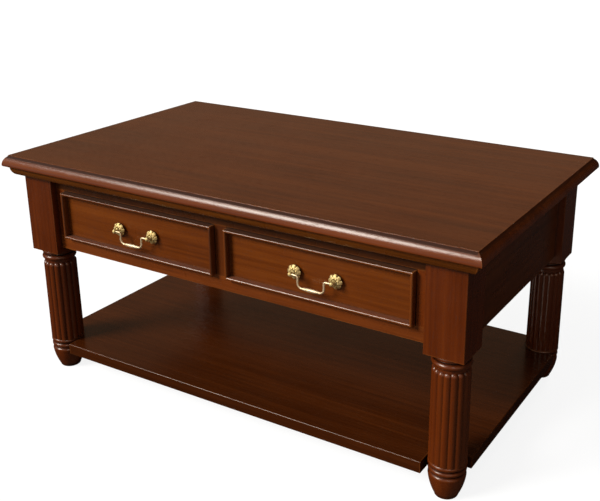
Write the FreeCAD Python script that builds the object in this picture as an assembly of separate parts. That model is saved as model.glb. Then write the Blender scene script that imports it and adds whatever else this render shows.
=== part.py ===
import FreeCAD, Part
import math
import os

# Coffee table with two drawers, reeded legs and a low shelf, in millimetres.
# The origin is on the floor under the middle of the table. +X runs along the
# front to the right-hand end, the drawers face -Y and +Z is up.

# Overall
table_length = 1100.0
table_width = 645.0
table_height = 506.0

# Top board: an eased arris, a quirk, then a tall round that draws in at the underside
top_thickness = 24.0
top_arris = 0.6
round_width = 10.5
round_quirk = 2.0
round_belly = 21.5
round_undercut = 2.5

# Bed moulding: four mitred strips with an ovolo edge, under the rim of the top
bed_height = 19.0
bed_width = 100.0
bed_setback = 11.0
bed_ovolo = 7.0
bed_fillet = 3.0

# How far the top overhangs the square blocks of the legs
overhang_at_ends = 33.5
overhang_at_sides = 29.5

# Legs, from the square block down to the foot
block_side = 77.0
block_height = 172.0
block_arris = 1.5
stem_core_radius = 31.0
neck_radius = 36.0
neck_height = 8.5
neck_cove_height = 3.0
neck_cove_depth = 2.0
collar_radius = 36.5
collar_height = 12.0
collar_quirk = 4.5
column_radius_at_top = 35.4
column_radius_at_bottom = 36.1
reed_count = 16
reed_radius_at_top = 8.0
reed_seat = 1.0
upper_ring_radius = 36.3
lower_ring_radius = 35.7
ring_height = 10.0
ring_quirk = 1.5
foot_height = 54.0
foot_swell_radius = 35.3
foot_swell_height = 46.0
foot_shoulder_rise = 1.3
foot_bulge = 2.0
toe_radius_outer = 22.5
toe_radius_inner = 19.5
toe_height = 4.0
toe_rise = 0.9

# Aprons and front rails, with tenons in the legs
apron_height = 160.0
apron_thickness = 22.0
apron_setback = 16.0
top_rail_height = 26.0
bottom_rail_height = 29.0
rail_depth = 45.0
tenon_length = 22.0
tenon_thickness = 10.0
tenon_shoulder = 7.0
mortise_ease = 0.15

# Stiles beside and between the drawers
end_stile_width = 21.5
centre_stile_width = 27.0

# Runners, guides, kickers and stops round the drawers
runner_thickness = 18.0
runner_reach = 20.0
guide_height = 20.0
guide_gap = 0.5
stop_length = 30.0
stop_depth = 16.0
stop_height = 5.5
stop_inset = 60.0

# Glue blocks and the screws that hold the top
glue_block_length = 120.0
glue_block_side = 22.0
back_block_place = 240.0
screw_length = 48.0
screw_radius = 2.0
screw_head_radius = 4.0
screw_head_height = 3.0
screw_spacing = 70.0
screw_ease = 0.1

# Shelf board, notched round the legs and let into them, and its dowels
shelf_underside = 47.0
shelf_thickness = 24.5
shelf_end_inset = 2.5
shelf_side_inset = 5.0
shelf_notch_width = 62.0
shelf_housing = 5.0
shelf_easing = 2.0
dowel_radius = 4.0
dowel_length = 45.0
dowel_in_leg = 14.0
dowel_ease = 0.1

# Drawers
drawer_side_gap = 1.5
drawer_top_gap = 1.7
running_gap = 0.3
drawer_length = 470.0
drawer_front_thickness = 20.0
bead_thickness = 6.0
bead_proud = 14.0
drawer_side_height = 96.0
drawer_side_thickness = 10.0
drawer_back_thickness = 10.0
drawer_bottom_thickness = 5.0
drawer_bottom_height = 9.0
groove_depth = 5.0
groove_ease = 0.1
tail_count = 3
front_tail_length = 12.0
tail_slope_share = 1 / 6
tail_width_share = 0.6
back_drop = 4.0

# Pulls: two petalled rosettes, two posts with a knuckle, and a hanging bail
pull_spacing = 88.0
pull_drop = 3.0
rosette_foot_radius = 8.5
rosette_radius = 14.5
rosette_rim_base = 5.0
rosette_rim_top = 7.0
rosette_height = 12.0
rosette_boss_radius = 4.6
petal_count = 8
petal_groove_radius = 1.1
petal_notch_radius = 1.8
post_reach = 19.0
post_radius = 3.0
post_base_radius = 4.2
post_base_height = 14.0
shank_radius = 2.5
shank_ease = 0.2
shank_tail = 3.0
nut_across_flats = 9.0
nut_thickness = 4.0
nut_ease = 0.05
knuckle_radius = 4.6
pivot_clearance = 0.08
bail_wire_radius = 2.0
bail_grip_radius = 3.7
bail_inset = 16.0
bail_drop = 23.0
bail_upper_bend = 4.0
bail_lower_bend = 9.0
bail_end_gap = 0.6

# How far a rounded edge rises over its chord, and one overrun for every through cut
arc_rise_share = 0.28
overrun = 2.0

# Places that follow from the sizes above
half_length = table_length / 2
half_width = table_width / 2
top_underside = table_height - top_thickness
frame_top = top_underside - bed_height
block_outer_x = half_length - overhang_at_ends
block_outer_y = half_width - overhang_at_sides
block_inner_x = block_outer_x - block_side
block_inner_y = block_outer_y - block_side
leg_x = block_outer_x - block_side / 2
leg_y = block_outer_y - block_side / 2
block_bottom = frame_top - block_height

apron_bottom = frame_top - apron_height
apron_face_x = block_outer_x - apron_setback
apron_face_y = block_outer_y - apron_setback
apron_back_x = apron_face_x - apron_thickness
apron_back_y = apron_face_y - apron_thickness
rail_back_y = apron_face_y - rail_depth
opening_bottom = apron_bottom + bottom_rail_height
opening_top = frame_top - top_rail_height
opening_inner_x = centre_stile_width / 2
opening_outer_x = block_inner_x - end_stile_width

drawer_left_x = opening_inner_x + drawer_side_gap
drawer_right_x = opening_outer_x - drawer_side_gap
drawer_floor = opening_bottom + running_gap
drawer_top = opening_top - drawer_top_gap
panel_left_x = drawer_left_x + bead_thickness
panel_right_x = drawer_right_x - bead_thickness
panel_floor = drawer_floor + bead_thickness
panel_top = drawer_top - bead_thickness
panel_back_y = -apron_face_y + drawer_front_thickness
drawer_end_y = -apron_face_y + drawer_length

pull_x = (drawer_left_x + drawer_right_x) / 2
pull_z = (drawer_floor + drawer_top) / 2 - pull_drop
pivot_y = -apron_face_y - post_reach

across_x = FreeCAD.Vector(1, 0, 0)
across_y = FreeCAD.Vector(0, 1, 0)
upward = FreeCAD.Vector(0, 0, 1)
centre = FreeCAD.Vector(0, 0, 0)


# Helpers

def at(x, y, z):
    """A point or a step in space."""
    return FreeCAD.Vector(x, y, z)


def box(x_low, x_high, y_low, y_high, z_low, z_high):
    """A box between two corners."""
    corner = at(x_low, y_low, z_low)
    return Part.makeBox(x_high - x_low, y_high - y_low, z_high - z_low, corner)


def mirrored(shape, *normals):
    """The shape mirrored through planes at the origin, one after the other."""
    for normal in normals:
        shape = shape.mirror(centre, normal)
    return shape


def prism(points, run):
    """A polygon pushed along a straight run."""
    return Part.Face(Part.makePolygon(points + points[:1])).extrude(run)


def path_edges(start, steps):
    """Edges from start. A step is an end point, or an end point and a rise of arc.

    Points are (across, up) pairs. On a step that goes straight down, a positive rise
    bulges the arc towards larger across, so a profile drawn downwards swells outwards.
    """
    edges = []
    here = at(start[0], 0, start[1])
    for step in steps:
        there = at(step[0], 0, step[1])
        if len(step) == 2:
            edges.append(Part.LineSegment(here, there).toShape())
        else:
            chord = there - here
            outward = at(-chord.z, 0, chord.x).normalize()
            crown = (here + there) * 0.5 + outward * step[2]
            edges.append(Part.Arc(here, crown, there).toShape())
        here = there
    return edges


def turned(start, steps):
    """A solid turned about the Z axis from a closed outline beside that axis."""
    face = Part.Face(Part.Wire(path_edges(start, steps + [start])))
    return face.revolve(centre, upward, 360)


def fused(shapes):
    """Several touching solids as one."""
    return shapes[0].multiFuse(shapes[1:]).removeSplitter()


def save(node, shape):
    """One file for one node."""
    shape.exportStep(os.path.join("parts", node + ".step"))


def save_pair(node, shape):
    """The right-hand piece, and its mirror image on the left."""
    save(node + "_right", shape)
    save(node + "_left", mirrored(shape, across_x))


# Top board and bed moulding

def edge_bar(half_reach, profile, z_top, half_run):
    """A bar along Y whose section across X has the profile at both edges.

    The profile is a list of (in from the edge, down from the top) steps, and a third
    number is the rise of an arc.
    """
    right = []
    for step in profile:
        right.append((half_reach - step[0], z_top - step[1]) + step[2:])
    start = (0, z_top)
    steps = right + [(0, z_top - profile[-1][1]), start]
    face = Part.Face(Part.Wire(path_edges(start, steps)))
    half = face.extrude(at(0, half_run * 2, 0))
    half.translate(at(0, -half_run, 0))
    return half.fuse(mirrored(half, across_x)).removeSplitter()


def mitred_board(profile, z_top):
    """A board whose four edges have the profile and meet in mitres."""
    along_y = edge_bar(half_length, profile, z_top, half_width)
    along_x = edge_bar(half_width, profile, z_top, half_length)
    along_x.rotate(centre, upward, 90)
    return along_y.common(along_x)


def upright_rise(width, height):
    """How far an arc rises over its chord when one of its ends is upright."""
    return math.hypot(width, height) / 2 * math.tan(math.atan2(width, height) / 2)


def top_edge_profile():
    """The top's edge: arris, quirk, tall round to the belly, and in to the underside."""
    return [
        (round_width + top_arris, 0),
        (round_width, top_arris, upright_rise(top_arris, top_arris)),
        (round_width, round_quirk),
        (0, round_belly, upright_rise(round_width, round_belly - round_quirk)),
        (round_undercut, top_thickness, round_undercut * arc_rise_share),
    ]


def ovolo_profile():
    """The bed moulding's edge: a small fillet, then a convex ovolo."""
    return [
        (bed_setback, 0),
        (bed_setback, bed_fillet),
        (bed_setback + bed_ovolo, bed_height, bed_ovolo * arc_rise_share),
    ]


def bed_moulding():
    """The front and right-hand strips, with screw holes not yet drilled."""
    inner = bed_setback + bed_width
    rim = mitred_board(ovolo_profile(), top_underside)
    well = box(inner - half_length, half_length - inner, inner - half_width,
               half_width - inner, frame_top - overrun, top_underside + overrun)
    rim = rim.cut(well)
    lift = at(0, 0, bed_height)
    front = prism([at(-half_length, -half_width, frame_top),
                   at(half_length, -half_width, frame_top),
                   at(half_length - inner, inner - half_width, frame_top),
                   at(inner - half_length, inner - half_width, frame_top)], lift)
    right = prism([at(half_length, -half_width, frame_top),
                   at(half_length, half_width, frame_top),
                   at(half_length - inner, half_width - inner, frame_top),
                   at(half_length - inner, inner - half_width, frame_top)], lift)
    return rim.common(front), rim.common(right)


# Screws that hold the top, and the holes that take them

def screw_places():
    """Each screw's x, y and the height of the face that its head is sunk in."""
    places = []
    rail_y = -apron_face_y + rail_depth / 2
    for x in (-pull_x, 0, pull_x):
        places.append((x, rail_y, opening_top))
    block_face = frame_top - glue_block_side
    side_x = apron_back_x - glue_block_side / 2
    back_y = apron_back_y - glue_block_side / 2
    for end in (-1, 1):
        offset = end * screw_spacing / 2
        for side in (-1, 1):
            places.append((side * side_x, offset, block_face))
            places.append((side * back_block_place + offset, back_y, block_face))
    return places


def screw(x, y, head_z, ease):
    """A countersunk screw that points up, grown by ease when it is a hole."""
    head = Part.makeCone(screw_head_radius + ease, screw_radius + ease,
                         screw_head_height, at(x, y, head_z))
    shank = Part.makeCylinder(screw_radius + ease, screw_length + ease, at(x, y, head_z))
    return fused([head, shank])


def drilled(shape, holes):
    """The shape with the screw holes that reach it."""
    for hole in holes:
        if shape.BoundBox.intersect(hole.BoundBox):
            shape = shape.cut(hole)
    return shape


# Legs

def reed():
    """One convex reed with a domed tongue top, about its own upright axis."""
    z_low = foot_height + 2 * (ring_height + ring_quirk) - ring_quirk - reed_seat
    z_high = block_bottom - neck_height - neck_cove_height - collar_height - collar_quirk
    z_shoulder = z_high - reed_radius_at_top
    stand_off = column_radius_at_top - reed_radius_at_top
    foot_radius = column_radius_at_bottom - stand_off
    dome_rise = reed_radius_at_top * (1 - math.sqrt(0.5))
    solid = turned((0, z_high), [
        (reed_radius_at_top, z_shoulder, dome_rise),
        (foot_radius, z_low),
        (0, z_low),
    ])
    solid.translate(at(stand_off, 0, 0))
    return solid


def stem():
    """The turned part below the block: neck, collar, column core, rings and foot."""
    z_neck = block_bottom - neck_height
    z_cove = z_neck - neck_cove_height
    z_collar = z_cove - collar_height
    z_ring = foot_height + 2 * ring_height + ring_quirk
    core = stem_core_radius
    return turned((0, block_bottom), [
        (core, block_bottom),
        (core, z_neck, neck_radius - core),
        (core, z_cove, -neck_cove_depth),
        (core, z_collar, collar_radius - core),
        (core, z_ring),
        (core, z_ring - ring_height, upper_ring_radius - core),
        (core, z_ring - ring_height - ring_quirk),
        (core, foot_height, lower_ring_radius - core),
        (core, foot_height - ring_quirk),
        (foot_swell_radius, foot_swell_height, foot_shoulder_rise),
        (toe_radius_outer, toe_height, foot_bulge),
        (toe_radius_inner, 0, toe_rise),
        (0, 0),
    ])


def leg_blank():
    """Block, turned stem and reeds as one piece of wood, on the right-hand front."""
    half = block_side / 2
    block = box(-half, half, -half, half, block_bottom, frame_top)
    uprights = [edge for edge in block.Edges if abs(edge.tangentAt(edge.FirstParameter).z) > 0.5]
    block = block.makeFillet(block_arris, uprights)
    reeds = []
    for index in range(reed_count):
        one = reed()
        one.rotate(centre, upward, (index + 0.5) * 360 / reed_count)
        reeds.append(one)
    blank = fused([block, stem()] + reeds)
    blank.translate(at(leg_x, -leg_y, 0))
    return blank


def tenon_along_x(y_face, z_low, z_high, ease):
    """Tenon at the right-hand end of a member whose outer face is at y_face."""
    y_middle = y_face + math.copysign(apron_thickness / 2, -y_face)
    reach = tenon_thickness / 2 + ease
    return box(block_inner_x, block_inner_x + tenon_length + ease,
               y_middle - reach, y_middle + reach,
               z_low + tenon_shoulder - ease, z_high - tenon_shoulder + ease)


def tenon_along_y(ease):
    """Tenon at the front end of the right-hand apron."""
    x_middle = apron_face_x - apron_thickness / 2
    reach = tenon_thickness / 2 + ease
    return box(x_middle - reach, x_middle + reach,
               -block_inner_y - tenon_length - ease, -block_inner_y,
               apron_bottom + tenon_shoulder - ease, frame_top - tenon_shoulder + ease)


def legs():
    """Front and back legs of the right-hand end, with mortises and the shelf's housing."""
    blank = leg_blank()
    blank = blank.cut(tenon_along_y(mortise_ease))
    blank = blank.cut(shelf_blank()).cut(shelf_dowel(dowel_ease))
    front = blank
    for z_low, z_high in ((apron_bottom, opening_bottom), (opening_top, frame_top)):
        front = front.cut(tenon_along_x(-apron_face_y, z_low, z_high, mortise_ease))
    back = mirrored(blank, across_y)
    back = back.cut(tenon_along_x(apron_face_y, apron_bottom, frame_top, mortise_ease))
    return front, back


# Aprons, rails and stiles

def member_along_x(y_face, depth, z_low, z_high):
    """A rail or apron between the legs, with a tenon at each end."""
    y_edges = sorted((y_face, y_face + math.copysign(depth, -y_face)))
    body = box(-block_inner_x, block_inner_x, y_edges[0], y_edges[1], z_low, z_high)
    tenon = tenon_along_x(y_face, z_low, z_high, 0)
    return fused([body, tenon, mirrored(tenon, across_x)])


def side_apron():
    """The right-hand apron, with a tenon at each end."""
    body = box(apron_back_x, apron_face_x, -block_inner_y, block_inner_y,
               apron_bottom, frame_top)
    tenon = tenon_along_y(0)
    return fused([body, tenon, mirrored(tenon, across_y)])


def stile(x_low, x_high):
    """An upright between the two front rails, flush with their faces."""
    return box(x_low, x_high, -apron_face_y, -apron_back_y, opening_bottom, opening_top)


# Runners, kickers, stops and glue blocks

def runner(x_under, x_guide, x_far):
    """A runner with a guide on it, from the bottom rail to the back apron."""
    y_front = -rail_back_y
    base = box(x_under, x_far, y_front, apron_back_y,
               opening_bottom - runner_thickness, opening_bottom)
    guide = box(x_guide, x_far, y_front, apron_back_y,
                opening_bottom, opening_bottom + guide_height)
    return fused([base, guide])


def centre_runner():
    """The runner that the two drawers share."""
    x_under = panel_left_x - guide_gap + runner_reach
    half = runner(-x_under, guide_gap - panel_left_x, 0)
    return fused([half, mirrored(half, across_x)])


def kicker(x_low, x_high):
    """A strip above the drawer sides that keeps an open drawer level."""
    return box(x_low, x_high, -rail_back_y, apron_back_y,
               opening_top, opening_top + runner_thickness)


def drawer_stops():
    """Blocks on the bottom rail that the backs of the drawer fronts meet."""
    y_low = panel_back_y + running_gap
    stops = []
    for x in (panel_left_x + stop_inset, panel_right_x - stop_inset):
        stop = box(x - stop_length / 2, x + stop_length / 2, y_low, y_low + stop_depth,
                   opening_bottom, opening_bottom + stop_height)
        stops += [stop, mirrored(stop, across_x)]
    return Part.makeCompound(stops)


def side_glue_block():
    """Block in the corner between the right-hand apron and the moulding."""
    half = glue_block_length / 2
    return box(apron_back_x - glue_block_side, apron_back_x, -half, half,
               frame_top - glue_block_side, frame_top)


def back_glue_block():
    """Block in the corner between the back apron and the moulding, on the right."""
    half = glue_block_length / 2
    return box(back_block_place - half, back_block_place + half,
               apron_back_y - glue_block_side, apron_back_y,
               frame_top - glue_block_side, frame_top)


# Shelf

def shelf_seat():
    """Distance from a leg's axis to the shelf's diagonal edge inside the leg."""
    return lower_ring_radius - shelf_housing


def shelf_blank():
    """The shelf board with its four notches, before its edges are eased."""
    end_x = block_outer_x - shelf_end_inset
    side_y = block_outer_y - shelf_side_inset
    notch_x = block_inner_x
    notch_y = side_y - shelf_notch_width
    diagonal = leg_x + leg_y - shelf_seat() * math.sqrt(2)
    corner = [(end_x, notch_y), (diagonal - notch_y, notch_y),
              (notch_x, diagonal - notch_x), (notch_x, side_y)]
    outline = [at(x, y, shelf_underside) for x, y in corner]
    outline += [at(-x, y, shelf_underside) for x, y in reversed(corner)]
    outline += [at(-x, -y, shelf_underside) for x, y in corner]
    outline += [at(x, -y, shelf_underside) for x, y in reversed(corner)]
    return prism(outline, at(0, 0, shelf_thickness))


def shelf_dowel(ease):
    """The dowel in the right-hand front leg, pointing at the middle of the shelf."""
    inward = at(-1, 1, 0).normalize()
    start = at(leg_x, -leg_y, shelf_underside + shelf_thickness / 2)
    start += inward * (shelf_seat() - dowel_in_leg - ease)
    return Part.makeCylinder(dowel_radius + ease, dowel_length + 2 * ease, start, inward)


def four_corners(shape):
    """The right-hand front shape and its mirror images in the other corners."""
    right = [shape, mirrored(shape, across_y)]
    return right + [mirrored(one, across_x) for one in right]


def shelf_board():
    """The finished shelf: long edges eased, dowel holes drilled."""
    board = shelf_blank()
    end_x = block_outer_x - shelf_end_inset
    side_y = block_outer_y - shelf_side_inset
    eased = []
    for edge in board.Edges:
        middle = edge.CenterOfMass
        level = edge.BoundBox.ZLength < shelf_easing
        outer = max(abs(middle.x) - end_x, abs(middle.y) - side_y) > -shelf_easing
        if level and outer:
            eased.append(edge)
    board = board.makeFillet(shelf_easing, eased)
    for hole in four_corners(shelf_dowel(dowel_ease)):
        board = board.cut(hole)
    return board


# Drawers, all modelled on the right-hand drawer

def bead_section(thickness_low, thickness_high):
    """Outline of a bead across its run: square at the back, half round in front."""
    front_y = -apron_face_y - bead_proud
    half = bead_thickness / 2
    return [
        at(0, panel_back_y, thickness_low),
        at(0, front_y + half, thickness_low),
        at(0, front_y, (thickness_low + thickness_high) / 2),
        at(0, front_y + half, thickness_high),
        at(0, panel_back_y, thickness_high),
    ]


def level_bead(z_low):
    """A rounded strip along X, longer than the drawer, before it is mitred."""
    points = bead_section(z_low, z_low + bead_thickness)
    wire = Part.Wire([
        Part.LineSegment(points[0], points[1]).toShape(),
        Part.Arc(points[1], points[2], points[3]).toShape(),
        Part.LineSegment(points[3], points[4]).toShape(),
        Part.LineSegment(points[4], points[0]).toShape(),
    ])
    strip = Part.Face(wire).extrude(at(drawer_right_x - drawer_left_x, 0, 0))
    strip.translate(at(drawer_left_x, 0, 0))
    return strip


def upright_bead(x_low):
    """A rounded strip along Z, as tall as the drawer, before it is mitred."""
    strip = level_bead(0)
    strip.translate(at(-drawer_left_x, 0, 0))
    strip.rotate(centre, across_y, -90)
    strip.translate(at(x_low + bead_thickness, 0, drawer_floor))
    return strip


def mitre(x_outer, z_outer, x_inner, z_inner):
    """A wedge between the outer and inner corners of the bead frame, for one strip."""
    front_y = -apron_face_y - bead_proud - overrun
    run = at(0, panel_back_y - front_y + overrun, 0)
    points = [at(x_outer[0], front_y, z_outer[0]), at(x_outer[1], front_y, z_outer[1]),
              at(x_inner[1], front_y, z_inner[1]), at(x_inner[0], front_y, z_inner[0])]
    return prism(points, run)


def beads():
    """The four mitred cock beads round the drawer front, by name."""
    outer_x = (drawer_left_x, drawer_right_x)
    inner_x = (panel_left_x, panel_right_x)
    outer_z = (drawer_floor, drawer_top)
    inner_z = (panel_floor, panel_top)
    top = mitre(outer_x, (drawer_top, drawer_top), inner_x, (panel_top, panel_top))
    bottom = mitre(outer_x, (drawer_floor, drawer_floor), inner_x, (panel_floor, panel_floor))
    left = mitre((drawer_left_x, drawer_left_x), outer_z, (panel_left_x, panel_left_x), inner_z)
    right = mitre((drawer_right_x, drawer_right_x), outer_z,
                  (panel_right_x, panel_right_x), inner_z)
    return {
        "bead_top": level_bead(panel_top).common(top),
        "bead_bottom": level_bead(drawer_floor).common(bottom),
        "bead_left": upright_bead(drawer_left_x).common(left),
        "bead_right": upright_bead(panel_right_x).common(right),
    }


def tails(x_low, x_high, y_root, y_tip, z_low, z_high):
    """Dovetails on a drawer side: prisms along X that widen from root to tip."""
    pitch = (z_high - z_low) / tail_count
    half_root = pitch * tail_width_share / 2
    half_tip = half_root + abs(y_tip - y_root) * tail_slope_share
    shapes = []
    for index in range(tail_count):
        z = z_low + (index + 0.5) * pitch
        points = [at(x_low, y_root, z - half_root), at(x_low, y_tip, z - half_tip),
                  at(x_low, y_tip, z + half_tip), at(x_low, y_root, z + half_root)]
        shapes.append(prism(points, at(x_high - x_low, 0, 0)))
    return shapes


def drawer_side_top():
    """Height of a drawer side's top edge."""
    return drawer_floor + drawer_side_height


def side_tails(x_low):
    """Front and back tails of the drawer side whose lower x is given."""
    x_high = x_low + drawer_side_thickness
    z_low = panel_floor
    front = tails(x_low, x_high, panel_back_y, panel_back_y - front_tail_length,
                  z_low, min(drawer_side_top(), panel_top))
    back_low = drawer_floor + drawer_bottom_height + drawer_bottom_thickness
    back = tails(x_low, x_high, drawer_end_y - drawer_back_thickness, drawer_end_y,
                 back_low, drawer_side_top() - back_drop)
    return front, back


def bottom_panel(ease):
    """The drawer's bottom, in grooves of the front and sides, under the back."""
    z_low = drawer_floor + drawer_bottom_height
    inset = drawer_side_thickness - groove_depth
    return box(panel_left_x + inset - ease, panel_right_x - inset + ease,
               panel_back_y - groove_depth - ease, drawer_end_y + ease,
               z_low - ease, z_low + drawer_bottom_thickness + ease)


def drawer_side(x_low):
    """A drawer side with its tails and the groove for the bottom."""
    front, back = side_tails(x_low)
    board = box(x_low, x_low + drawer_side_thickness, panel_back_y,
                drawer_end_y - drawer_back_thickness, drawer_floor, drawer_side_top())
    return fused([board] + front + back).cut(bottom_panel(groove_ease))


def drawer_back():
    """The drawer's back, between the tails of the sides."""
    z_low = drawer_floor + drawer_bottom_height + drawer_bottom_thickness
    board = box(panel_left_x, panel_right_x, drawer_end_y - drawer_back_thickness,
                drawer_end_y, z_low + groove_ease, drawer_side_top() - back_drop)
    for x_low in (panel_left_x, panel_right_x - drawer_side_thickness):
        for tail in side_tails(x_low)[1]:
            board = board.cut(tail)
    return board


def drawer_front():
    """The flat front panel, with sockets, the bottom's groove and the pull's holes."""
    board = box(panel_left_x, panel_right_x, -apron_face_y, panel_back_y,
                panel_floor, panel_top)
    for x_low in (panel_left_x, panel_right_x - drawer_side_thickness):
        for tail in side_tails(x_low)[0]:
            board = board.cut(tail)
    board = board.cut(bottom_panel(groove_ease))
    for x in pull_posts_x():
        hole = Part.makeCylinder(shank_radius + shank_ease,
                                 drawer_front_thickness + 2 * overrun,
                                 at(x, -apron_face_y - overrun, pull_z), across_y)
        board = board.cut(hole)
    return board


# Pulls, on the right-hand drawer

def pull_posts_x():
    """Where the two posts stand along X."""
    return (pull_x - pull_spacing / 2, pull_x + pull_spacing / 2)


def out_from_panel(shape, x):
    """A shape made about +Z, turned to stand out of the drawer front at x."""
    shape.rotate(centre, across_x, 90)
    shape.translate(at(x, -apron_face_y, pull_z))
    return shape


def rosette(x):
    """A domed flower on a narrower foot, with radial grooves that part its petals."""
    run = rosette_radius - rosette_boss_radius
    fall = rosette_height - rosette_rim_top
    dome_rise = run * arc_rise_share / 2
    flower = turned((shank_radius, rosette_height), [
        (rosette_boss_radius, rosette_height),
        (rosette_radius, rosette_rim_top, dome_rise),
        (rosette_radius, rosette_rim_base),
        (rosette_foot_radius, 0),
        (shank_radius, 0),
    ])
    for index in range(petal_count):
        groove = Part.makeCylinder(petal_groove_radius, math.hypot(run, fall) + overrun,
                                   centre, across_x)
        groove.rotate(centre, across_y, math.degrees(math.atan2(fall, run)))
        groove.translate(at(rosette_boss_radius, 0, rosette_height + dome_rise))
        notch = Part.makeCylinder(petal_notch_radius, rosette_height,
                                  at(rosette_radius + petal_groove_radius, 0, 0))
        for cutter in (groove, notch):
            cutter.rotate(centre, upward, (index + 0.5) * 360 / petal_count)
            flower = flower.cut(cutter)
    return out_from_panel(flower, x)


def post(x):
    """A post: turned foot, neck and knuckle in front, threaded shank behind."""
    shank_end = -drawer_front_thickness - nut_thickness - shank_tail
    body = turned((0, post_reach), [
        (post_radius, post_reach),
        (post_radius, post_base_height),
        (post_base_radius, rosette_height),
        (shank_radius, rosette_height),
        (shank_radius, shank_end),
        (0, shank_end),
    ])
    knuckle = Part.makeSphere(knuckle_radius, at(0, 0, post_reach))
    bore_reach = knuckle_radius + overrun
    bore = Part.makeCylinder(bail_wire_radius + pivot_clearance, 2 * bore_reach,
                             at(-bore_reach, 0, post_reach), across_x)
    return out_from_panel(fused([body, knuckle]).cut(bore), x)


def nut(x):
    """A hexagon nut on the shank, against the back of the drawer front."""
    corner = nut_across_flats / math.sqrt(3)
    points = []
    for index in range(6):
        angle = math.radians(60 * index)
        points.append(at(corner * math.cos(angle), corner * math.sin(angle),
                         -drawer_front_thickness - nut_thickness))
    blank = prism(points, at(0, 0, nut_thickness))
    hole = Part.makeCylinder(shank_radius + nut_ease, nut_thickness + 2 * overrun,
                             at(0, 0, -drawer_front_thickness - nut_thickness - overrun))
    return out_from_panel(blank.cut(hole), x)


def bail():
    """The hanging bail: a pin in each knuckle, two bent arms and a thicker grip."""
    pin_x = pull_spacing / 2 + knuckle_radius - bail_end_gap
    arm_x = pull_spacing / 2 - bail_inset
    elbow_x = arm_x + bail_upper_bend
    grip_x = arm_x - bail_lower_bend
    turn = 1 - math.sqrt(0.5)
    upper_rise = -bail_upper_bend * turn
    lower_rise = bail_lower_bend * turn
    half_path = path_edges((pin_x, 0), [
        (elbow_x, 0),
        (arm_x, -bail_upper_bend, upper_rise),
        (arm_x, bail_lower_bend - bail_drop),
        (grip_x, -bail_drop, lower_rise),
        (0, -bail_drop),
    ])
    circle = Part.Wire(Part.makeCircle(bail_wire_radius, at(pin_x, 0, 0), across_x))
    half = Part.Wire(half_path).makePipeShell([circle], True, False)
    grip_rise = bail_grip_radius - bail_wire_radius
    grip = turned((0, -grip_x), [
        (0, grip_x),
        (bail_wire_radius, grip_x),
        (bail_wire_radius, -grip_x, grip_rise),
    ])
    grip.rotate(centre, across_y, 90)
    grip.translate(at(0, 0, -bail_drop))
    shape = fused([half, mirrored(half, across_x), grip])
    shape.translate(at(pull_x, pivot_y, pull_z))
    return shape


# Assembly

def build_frame():
    """Every piece that stays with the table."""
    holes = [screw(x, y, z, screw_ease) for x, y, z in screw_places()]
    save("top_board", drilled(mitred_board(top_edge_profile(), table_height), holes))
    bed_front, bed_right = bed_moulding()
    save("bed_moulding_front", drilled(bed_front, holes))
    save("bed_moulding_back", drilled(mirrored(bed_front, across_y), holes))
    save("bed_moulding_right", drilled(bed_right, holes))
    save("bed_moulding_left", drilled(mirrored(bed_right, across_x), holes))

    front_leg, back_leg = legs()
    save_pair("leg_front", front_leg)
    save_pair("leg_back", back_leg)

    save_pair("apron", side_apron())
    save("apron_back", member_along_x(apron_face_y, apron_thickness, apron_bottom, frame_top))
    top_rail = member_along_x(-apron_face_y, rail_depth, opening_top, frame_top)
    save("front_top_rail", drilled(top_rail, holes))
    save("front_bottom_rail",
         member_along_x(-apron_face_y, rail_depth, apron_bottom, opening_bottom))
    save_pair("front_stile", stile(opening_outer_x, block_inner_x))
    save("centre_stile", stile(-opening_inner_x, opening_inner_x))

    guide_x = panel_right_x + guide_gap
    save_pair("runner", runner(guide_x - runner_reach, guide_x, block_inner_x))
    save("runner_centre", centre_runner())
    save_pair("kicker", kicker(guide_x - runner_reach, block_inner_x))
    centre_reach = panel_left_x - guide_gap + runner_reach
    save("kicker_centre", kicker(-centre_reach, centre_reach))
    save("drawer_stops", drawer_stops())

    save_pair("glue_block", drilled(side_glue_block(), holes))
    save_pair("glue_block_back", drilled(back_glue_block(), holes))
    save("top_screws", Part.makeCompound([screw(x, y, z, 0) for x, y, z in screw_places()]))

    save("shelf_board", shelf_board())
    save("shelf_dowels", Part.makeCompound(four_corners(shelf_dowel(0))))


def drawer_pieces():
    """Every piece of the right-hand drawer and its pull, by name."""
    pieces = beads()
    pieces["front"] = drawer_front()
    pieces["side_left"] = drawer_side(panel_left_x)
    pieces["side_right"] = drawer_side(panel_right_x - drawer_side_thickness)
    pieces["back"] = drawer_back()
    pieces["bottom"] = bottom_panel(0)
    left_x, right_x = pull_posts_x()
    pieces["rosette_left"] = rosette(left_x)
    pieces["rosette_right"] = rosette(right_x)
    pieces["pull_posts"] = Part.makeCompound([post(left_x), post(right_x)])
    pieces["pull_nuts"] = Part.makeCompound([nut(left_x), nut(right_x)])
    pieces["bail"] = bail()
    return pieces


def build_drawers():
    """The right-hand drawer, and the same drawer moved to the left-hand opening."""
    for name, shape in drawer_pieces().items():
        save("right_drawer_" + name, shape)
        moved = shape.copy()
        moved.translate(at(-2 * pull_x, 0, 0))
        save("left_drawer_" + name, moved)


os.makedirs("parts", exist_ok=True)
build_frame()
build_drawers()
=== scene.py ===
import math

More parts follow.
